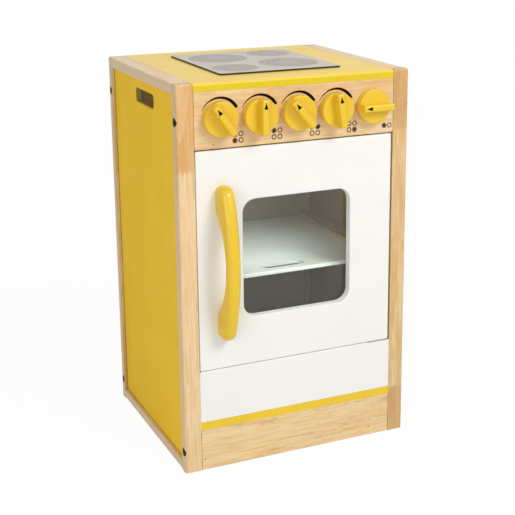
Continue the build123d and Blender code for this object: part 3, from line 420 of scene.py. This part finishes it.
# The top's pale yellow is a painted sheen, and its upright faces get a darker painted shade.
dress(["top_board"], paint(
    "yellow_lacquer_top", "#fad75a", "#f8d354", roughness=0.42, coat=0.05, gloss=0.4,
    edge="#e0c61c", rim=("top_board", {"X": TOP_RIM_MM}),
))
dress(["bottom_board"], paint(
    "yellow_lacquer_bottom", "#efca32", "#ecc52d", roughness=0.42, coat=0.05, gloss=0.3,
))
for name, painted in (
    ("yellow_lacquer_knobs", [f"knob_{n}" for n in range(1, 6)]),
    ("yellow_lacquer_handle", ["door_handle"]),
):
    dress(painted, paint(name, "#edc62c", "#eac028", roughness=0.3, coat=0.15, gloss=0.4))
dress(["door_panel", "lower_front_panel"], paint(
    "white_lacquer", "#f4f3ef", "#f1f0ec", roughness=0.36, coat=0.1,
))
dress(["oven_shelf"], paint(
    "white_lacquer_shelf", "#f3f6f2", "#f0f3ee", roughness=0.38, coat=0.1,
))


# ------------------------------------------------------------------- hob plate
# Thin board with a matt printed top: mauve-grey zones with fine rings on a
# warm grey field, and a dark cut edge.
HOB_ZONES = (             # centre x, y and radius in mm
    (-41.0, 65.5, 45.5), (39.0, -18.5, 45.5), (-54.0, -38.5, 33.5), (52.0, 86.5, 33.5),
)
RING_MM = 4.6             # from one printed ring to the next
RING_LINE = 0.42          # share of the spacing that a line takes
ZONE_CORE = 0.42          # share of a zone's radius that its plain core takes
HOB_GRAIN_MM = 1.6        # grain of the board, drawn coarser so that it shows
HOB_GRAIN_DEPTH_MM = 0.1
HOB_TOP_FROM = 0.45       # a face whose normal looks up less than this is the cut edge
HOB_FIELD = linear("#cdc8bb")
HOB_FIELD_SHADE = linear("#c6c0b3")
HOB_ZONE = linear("#bfb4ae")
HOB_CORE = linear("#b1a7a4")
HOB_RING = linear("#5d5049")
HOB_EDGE = linear("#38290f")

material, tree = new_material("printed_hob_board")
coords = add_node(tree, "ShaderNodeTexCoord").outputs["Object"]
flat_map = add_node(tree, "ShaderNodeVectorMath", {0: coords, 1: (1, 1, 0)}, operation="MULTIPLY")
hob_grain = add_node(tree, "ShaderNodeTexNoise", {
    "Vector": coords, "Scale": 1 / (HOB_GRAIN_MM * MM), "Detail": 2.0,
})
hob_colour = lay_over(tree, HOB_FIELD, HOB_FIELD_SHADE, hob_grain)
for x, y, radius in HOB_ZONES:
    away = add_node(
        tree, "ShaderNodeVectorMath", {0: flat_map, 1: (x * MM, y * MM, 0)}, operation="DISTANCE",
    )
    zone = add_node(tree, "ShaderNodeMath", {0: away, 1: radius * MM}, operation="LESS_THAN")
    core = add_node(
        tree, "ShaderNodeMath", {0: away, 1: ZONE_CORE * radius * MM}, operation="LESS_THAN",
    )
    band = add_node(tree, "ShaderNodeMath", {0: zone, 1: core}, operation="SUBTRACT")
    step = add_node(tree, "ShaderNodeMath", {0: away, 1: RING_MM * MM}, operation="MODULO")
    line = add_node(
        tree, "ShaderNodeMath", {0: step, 1: RING_LINE * RING_MM * MM}, operation="LESS_THAN",
    )
    line = add_node(tree, "ShaderNodeMath", {0: line, 1: band}, operation="MULTIPLY")
    hob_colour = lay_over(tree, hob_colour, HOB_ZONE, zone, strength=0.75)
    hob_colour = lay_over(tree, hob_colour, HOB_CORE, core)
    hob_colour = lay_over(tree, hob_colour, HOB_RING, line, strength=0.8)
normal = add_node(tree, "ShaderNodeNewGeometry").outputs["Normal"]
up = add_node(tree, "ShaderNodeSeparateXYZ", {"Vector": normal}).outputs["Z"]
cut_edge = add_node(tree, "ShaderNodeMath", {0: up, 1: HOB_TOP_FROM}, operation="LESS_THAN")
hob_colour = lay_over(tree, hob_colour, HOB_EDGE, cut_edge)
relief = add_node(tree, "ShaderNodeBump", {
    "Height": hob_grain, "Strength": 0.08, "Distance": HOB_GRAIN_DEPTH_MM * MM,
})
finish_material(tree, add_node(tree, "ShaderNodeBsdfPrincipled", {
    "Base Color": hob_colour, "Roughness": 0.42, "Normal": relief, "IOR": RESIN_IOR,
    "Specular IOR Level": 0.3,
}))
dress(["hob_plate"], material)

# ----------------------------------------------------------------- window pane
# Clear cast acrylic sheet: nearly invisible, with soft reflections. Shadow
# rays pass it, as light does through a clear sheet.
material, tree = new_material("clear_acrylic")
clear = add_node(tree, "ShaderNodeBsdfPrincipled", {
    "Base Color": linear("#f2f5f1"), "Roughness": 0.02, "IOR": 1.49, "Transmission Weight": 1.0,
})
passing = add_node(tree, "ShaderNodeBsdfTransparent", {"Color": linear("#f5f9f5")})
shadow = add_node(tree, "ShaderNodeLightPath").outputs["Is Shadow Ray"]
finish_material(tree, add_node(tree, "ShaderNodeMixShader", {0: shadow, 1: clear, 2: passing}))
dress(["window_pane"], material)

# ------------------------------------------------------------ metal and plastic
GRIT_DEPTH_MM = 0.05      # relief of plated steel and of moulded plastic
STEEL_SPREAD = 0.08       # how far steel's roughness falls and rises with its grain
STEEL_SHADE = 0.8         # share of the colour's light left in the dark of the grain
PLASTIC_SHADE = 0.93


def steel(name, colour, roughness, grit):
    """Plated or oxidised steel. A grain of grit mm varies its gloss.

    Real grain is finer; it is drawn coarser so that it shows."""
    material, tree = new_material(name)
    coords = add_node(tree, "ShaderNodeTexCoord").outputs["Object"]
    grain = add_node(tree, "ShaderNodeTexNoise", {
        "Vector": coords, "Scale": 1 / (grit * MM), "Detail": 3.0,
    })
    gloss = add_node(tree, "ShaderNodeMapRange", {
        "Value": grain, "From Min": 0.3, "From Max": 0.7,
        "To Min": roughness - STEEL_SPREAD, "To Max": roughness + STEEL_SPREAD,
    })
    tint = lay_over(tree, linear(colour), darker(linear(colour), STEEL_SHADE), grain)
    relief = add_node(tree, "ShaderNodeBump", {
        "Height": grain, "Strength": 0.1, "Distance": GRIT_DEPTH_MM * MM,
    })
    finish_material(tree, add_node(tree, "ShaderNodeBsdfPrincipled", {
        "Base Color": tint, "Roughness": gloss, "Normal": relief, "Metallic": 1.0,
    }))
    return material


def plastic(name, colour, roughness, texture):
    """Moulded plastic or pressed ferrite with a fine surface texture in mm.

    It too is drawn coarser than the real one so that it shows."""
    material, tree = new_material(name)
    coords = add_node(tree, "ShaderNodeTexCoord").outputs["Object"]
    grain = add_node(tree, "ShaderNodeTexNoise", {
        "Vector": coords, "Scale": 1 / (texture * MM), "Detail": 2.0,
    })
    tint = lay_over(tree, linear(colour), darker(linear(colour), PLASTIC_SHADE), grain)
    relief = add_node(tree, "ShaderNodeBump", {
        "Height": grain, "Strength": 0.1, "Distance": GRIT_DEPTH_MM * MM,
    })
    finish_material(tree, add_node(tree, "ShaderNodeBsdfPrincipled", {
        "Base Color": tint, "Roughness": roughness, "Normal": relief, "IOR": RESIN_IOR,
    }))
    return material


# Black-oxide steel with a brown cast: dull, dark heads in the posts.
dress(["frame_bolts"], steel("black_oxide_steel", "#1d150e", roughness=0.6, grit=1.5))
# Zinc-plated steel: pale and softly shiny.
dress(
    ["barrel_nuts", "runner_screws", "pivot_plate_screws", "catch_screws", "pane_screws",
     "pane_washers", "handle_screws", "strike_screw"]
    + [f"knob_{n}_screw" for n in range(1, 6)] + [f"knob_{n}_washer" for n in range(1, 6)],
    steel("zinc_plated_steel", "#c9cac6", roughness=0.32, grit=0.8),
)
dress(
    ["lower_pivot_plate", "upper_pivot_plate", "strike_plate"],
    steel("zinc_plated_sheet", "#c4c5c2", roughness=0.36, grit=1.2),
)
# Moulded nylon: waxy off-white.
dress(
    ["lower_pivot_bush", "upper_pivot_bush"],
    plastic("moulded_nylon_bush", "#e9e5d9", roughness=0.42, texture=0.9),
)
dress(["catch_housing"], plastic("moulded_nylon_housing", "#ece9df", roughness=0.45, texture=1.1))
# Pressed ferrite: near-black and dull.
dress(["catch_magnet"], plastic("ferrite", "#3a3a3c", roughness=0.6, texture=0.7))

# Hardboard: short brown fibres behind, and a pale painted inner face.
FIBRE_MM = 1.4            # real fibres are finer; drawn coarser so that they show
FIBRE_DEPTH_MM = 0.15
FIBRE_SQUEEZE = 0.35      # fibres lie along X, about three times as long as wide
INNER_FROM = -0.9         # a face whose normal's Y is less than this is the inner one

material, tree = new_material("hardboard")
coords = add_node(tree, "ShaderNodeTexCoord").outputs["Object"]
long_fibres = add_node(tree, "ShaderNodeMapping", {"Vector": coords, "Scale": (FIBRE_SQUEEZE, 1, 1)})
fibres = add_node(tree, "ShaderNodeTexNoise", {
    "Vector": long_fibres, "Scale": 1 / (FIBRE_MM * MM), "Detail": 4.0, "Roughness": 0.65,
})
board_colour = lay_over(tree, linear("#8c6640"), linear("#a27a50"), fibres, start=0.3, end=0.55)
board_colour = lay_over(tree, board_colour, linear("#b38d61"), fibres, start=0.55, end=0.75)
normal = add_node(tree, "ShaderNodeNewGeometry").outputs["Normal"]
toward = add_node(tree, "ShaderNodeSeparateXYZ", {"Vector": normal}).outputs["Y"]
inner_face = add_node(tree, "ShaderNodeMath", {0: toward, 1: INNER_FROM}, operation="LESS_THAN")
board_colour = lay_over(tree, board_colour, linear("#b9b69c"), inner_face)
relief = add_node(tree, "ShaderNodeBump", {
    "Height": fibres, "Strength": 0.2, "Distance": FIBRE_DEPTH_MM * MM,
})
finish_material(tree, add_node(tree, "ShaderNodeBsdfPrincipled", {
    "Base Color": board_colour, "Roughness": 0.62, "Normal": relief, "IOR": RESIN_IOR,
}))
dress(["back_panel"], material)

# --------------------------------------------------------------- printed marks
# Screen-printed ink: a thin, matt film, dark brown-black and a little uneven.
INK_SPECKLE_MM = 0.9      # drawn coarser than real ink so that it shows

ink, tree = new_material("screen_print_ink")
coords = add_node(tree, "ShaderNodeTexCoord").outputs["Object"]
speckle = add_node(tree, "ShaderNodeTexNoise", {
    "Vector": coords, "Scale": 1 / (INK_SPECKLE_MM * MM), "Detail": 2.0,
})
ink_colour = lay_over(tree, linear("#0d0703"), linear("#1a0f08"), speckle, start=0.35, end=0.75)
finish_material(tree, add_node(tree, "ShaderNodeBsdfPrincipled", {
    "Base Color": ink_colour, "Roughness": 0.6, "IOR": RESIN_IOR, "Specular IOR Level": 0.06,
}))

# Sizes in mm and angles in degrees, clockwise from straight up.
FILM_MM = 0.12            # thickness of the ink film, drawn thick enough to keep clear
SCALE_INNER = 27.0        # inner radius of a scale round its knob
SCALE_OUTER = 29.54       # outer circle, set off to the right so that the scale widens
SCALE_OFFSET = (2.26, 0.55)
SCALE_INNER_SPAN = (-62.0, 63.0)
SCALE_OUTER_SPAN = (-65.5, 62.0)
SCALE_STEPS = 40
ZONE_MARK_R = 3.75        # rings of the small zone marks
ZONE_LINE = 1.25
ZONE_DOT_R = 2.1
ZONE_PITCH = 9.0
ZONE_SEGMENTS = 32
ZONE_MARK_AT = (27.5, -28.3)   # middle of the four rings, from the knob's centre
ZONE_SPOTS = ((-1, -1), (-1, 1), (1, 1), (1, -1))   # the chosen ring on knobs 1 to 4
OVEN_DOT_AT = (21.8, -31.3)    # the two rings of knob 5, from its centre
OVEN_RING_AT = (30.4, -31.3)
ARROW_TIP = 21.0          # from the knob's centre to the arrow's tip and base
ARROW_BASE = 12.0
ARROW_HALF = 3.0          # half the arrow's width
DOUBLES_MM = 0.001        # points of a sketch nearer than this become one


def printed(name, shape, plane, body):
    """Turn a flat bmesh into an ink film of its own, riding on a body."""
    bmesh.ops.remove_doubles(shape, verts=shape.verts[:], dist=DOUBLES_MM)
    shown = bmesh.ops.extrude_face_region(shape, geom=shape.faces[:])
    raised = [part for part in shown["geom"] if isinstance(part, bmesh.types.BMVert)]
    bmesh.ops.translate(shape, verts=raised, vec=(0, 0, FILM_MM))
    bmesh.ops.recalc_face_normals(shape, faces=shape.faces[:])
    shape.transform(plane @ Matrix.Scale(MM, 4))
    mesh = bpy.data.meshes.new(name)
    shape.to_mesh(mesh)
    shape.free()
    mesh.materials.append(ink)
    piece = bpy.data.objects.new(name, mesh)
    scene.collection.objects.link(piece)
    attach(piece, body)


def facing_out(x, y, z, turn=0.0):
    """Plane of an upright face towards the front; sketch X and Y are right and up."""
    upright = Matrix.Rotation(math.radians(90), 4, "X")
    return Matrix.Translation((x, y, z)) @ upright @ Matrix.Rotation(math.radians(turn), 4, "Z")


def arc_of_edges(shape, radius, centre, span):
    """An open arc of edges from the first angle of its span to the last."""
    start, end = (math.radians(angle) for angle in span)
    across = centre[0] + radius * math.sin(start)
    up = centre[1] + radius * math.cos(start)
    first = bmesh.ops.create_vert(shape, co=(across, up, 0))["vert"]
    bmesh.ops.spin(
        shape, geom=first, cent=(*centre, 0), axis=(0, 0, -1), angle=end - start,
        steps=SCALE_STEPS, use_merge=False,
    )


def ring(shape, x, y, chosen=False):
    """A printed ring, with a dot in it where it marks the chosen zone."""
    place = Matrix.Translation((x, y, 0))
    rims = []
    for radius in (ZONE_MARK_R, ZONE_MARK_R - ZONE_LINE):
        rims += bmesh.ops.create_circle(
            shape, cap_ends=False, segments=ZONE_SEGMENTS, radius=radius, matrix=place,
        )["verts"]
    bmesh.ops.bridge_loops(shape, edges=list({edge for point in rims for edge in point.link_edges}))
    if chosen:
        bmesh.ops.create_circle(
            shape, cap_ends=True, segments=ZONE_SEGMENTS, radius=ZONE_DOT_R, matrix=place,
        )


for number, (x, angle) in enumerate(zip(KNOB_XS, KNOB_ANGLES), start=1):
    panel_plane = facing_out(x, PANEL_FRONT, KNOB_Z)
    marks = bmesh.new()
    if number <= len(ZONE_SPOTS):
        scale = bmesh.new()
        arc_of_edges(scale, SCALE_INNER, (0, 0), SCALE_INNER_SPAN)
        arc_of_edges(scale, SCALE_OUTER, SCALE_OFFSET, SCALE_OUTER_SPAN)
        bmesh.ops.bridge_loops(scale, edges=scale.edges[:])
        printed(f"knob_{number}_scale", scale, panel_plane, "cabinet")
        for spot in ZONE_SPOTS:
            across, up = (at + way * ZONE_PITCH / 2 for at, way in zip(ZONE_MARK_AT, spot))
            ring(marks, across, up, chosen=spot == ZONE_SPOTS[number - 1])
        printed(f"knob_{number}_zone_mark", marks, panel_plane, "cabinet")
    else:
        ring(marks, *OVEN_DOT_AT, chosen=True)
        ring(marks, *OVEN_RING_AT)
        printed(f"knob_{number}_marks", marks, panel_plane, "cabinet")
    arrow = bmesh.new()
    corners = [arrow.verts.new(spot) for spot in (
        (-ARROW_HALF, ARROW_BASE, 0), (ARROW_HALF, ARROW_BASE, 0), (0, ARROW_TIP, 0),
    )]
    arrow.faces.new(corners)
    knob_plane = facing_out(x, KNOB_FRONT, KNOB_Z, angle)
    printed(f"knob_{number}_arrow", arrow, knob_plane, f"knob_{number}")

# ------------------------------------------------------- floor and background
# A plain pale floor. The camera sees it almost as the white background, and it
# keeps the object's shadow. Further off it fades into the background.
FLOOR_HALF = 14.0         # metres from the middle to an edge
FLOOR_NEAR = 0.7          # metres from the middle at which the fading starts and ends
FLOOR_FAR = 3.5
FLOOR_WHITE = 0.96        # share of the white background that shows near the object
WORLD_LIGHT = 0.36        # strength of the world as light; it is seen at 1
WHITE = (1, 1, 1, 1)


def seen_rays(tree):
    """A node that is 1 for the rays that show the background: camera, gloss and glass."""
    rays = add_node(tree, "ShaderNodeLightPath").outputs
    looked = add_node(
        tree, "ShaderNodeMath", {0: rays["Is Camera Ray"], 1: rays["Is Glossy Ray"]},
        operation="MAXIMUM",
    )
    return add_node(
        tree, "ShaderNodeMath", {0: looked, 1: rays["Is Transmission Ray"]}, operation="MAXIMUM",
    )


floor_mesh = bpy.data.meshes.new("floor")
floor_shape = bmesh.new()
bmesh.ops.create_grid(floor_shape, x_segments=1, y_segments=1, size=FLOOR_HALF)
floor_shape.to_mesh(floor_mesh)
floor_shape.free()
floor = bpy.data.objects.new("floor", floor_mesh)
scene.collection.objects.link(floor)
material, tree = new_material("studio_floor")
paper = add_node(tree, "ShaderNodeBsdfDiffuse", {"Color": linear("#f2f1ef")})
white = add_node(tree, "ShaderNodeEmission", {"Color": WHITE, "Strength": 1.0})
coords = add_node(tree, "ShaderNodeTexCoord").outputs["Object"]
far = add_node(tree, "ShaderNodeVectorMath", {0: coords}, operation="LENGTH")
share = add_node(tree, "ShaderNodeMapRange", {
    "Value": far, "From Min": FLOOR_NEAR, "From Max": FLOOR_FAR, "To Min": FLOOR_WHITE, "To Max": 1.0,
})
shown = add_node(tree, "ShaderNodeMath", {0: seen_rays(tree), 1: share}, operation="MULTIPLY")
finish_material(tree, add_node(tree, "ShaderNodeMixShader", {0: shown, 1: paper, 2: white}))
floor_mesh.materials.append(material)

world = bpy.data.worlds.new("studio")
scene.world = world
world.use_nodes = True
tree = world.node_tree
tree.nodes.clear()
strength = add_node(tree, "ShaderNodeMapRange", {
    "Value": seen_rays(tree), "To Min": WORLD_LIGHT, "To Max": 1.0,
})
sky = add_node(tree, "ShaderNodeBackground", {"Color": WHITE, "Strength": strength})
add_node(tree, "ShaderNodeOutputWorld", {"Surface": sky})


# ----------------------------------------------------------------------- lamps
def hang(lamp, place, aim):
    """Hang a lamp at a place, turned to a point. It shows only in reflections."""
    holder = bpy.data.objects.new(lamp.name, lamp)
    holder.location = place
    holder.rotation_euler = (Vector(aim) - Vector(place)).to_track_quat("-Z", "Y").to_euler()
    holder.visible_camera = False
    holder.visible_transmission = False
    scene.collection.objects.link(holder)
    return holder


for name, place, aim, width, watts in (
    ("key_softbox", (0.8, -1.75, 1.85), (0, -0.13, 0.3), 1.0, 28.0),
    ("front_softbox", (-1.9, -1.9, 1.1), (0, -0.13, 0.3), 1.6, 20.0),
    ("top_softbox", (0.2, 0.5, 2.2), (0, 0, 0.5), 1.2, 4.5),
):
    softbox = bpy.data.lights.new(name, "AREA")
    softbox.size = width
    softbox.energy = watts
    hang(softbox, place, aim)

# A small spot under the top board stands for the light that the lamps throw
# through the window on to the shelf. It doesn't show in reflections either.
shelf_lamp = bpy.data.lights.new("shelf_fill", "SPOT")
shelf_lamp.energy = 1.3
shelf_lamp.color = (0.88, 0.98, 1.0)
shelf_lamp.spot_size = math.radians(80)
shelf_lamp.spot_blend = 1.0
shelf_lamp.shadow_soft_size = 0.03
shelf_fill = hang(shelf_lamp, (-0.02, -0.05, 0.50), (-0.03, 0.02, 0.27))
shelf_fill.visible_glossy = False

scene.view_settings.view_transform = "Standard"
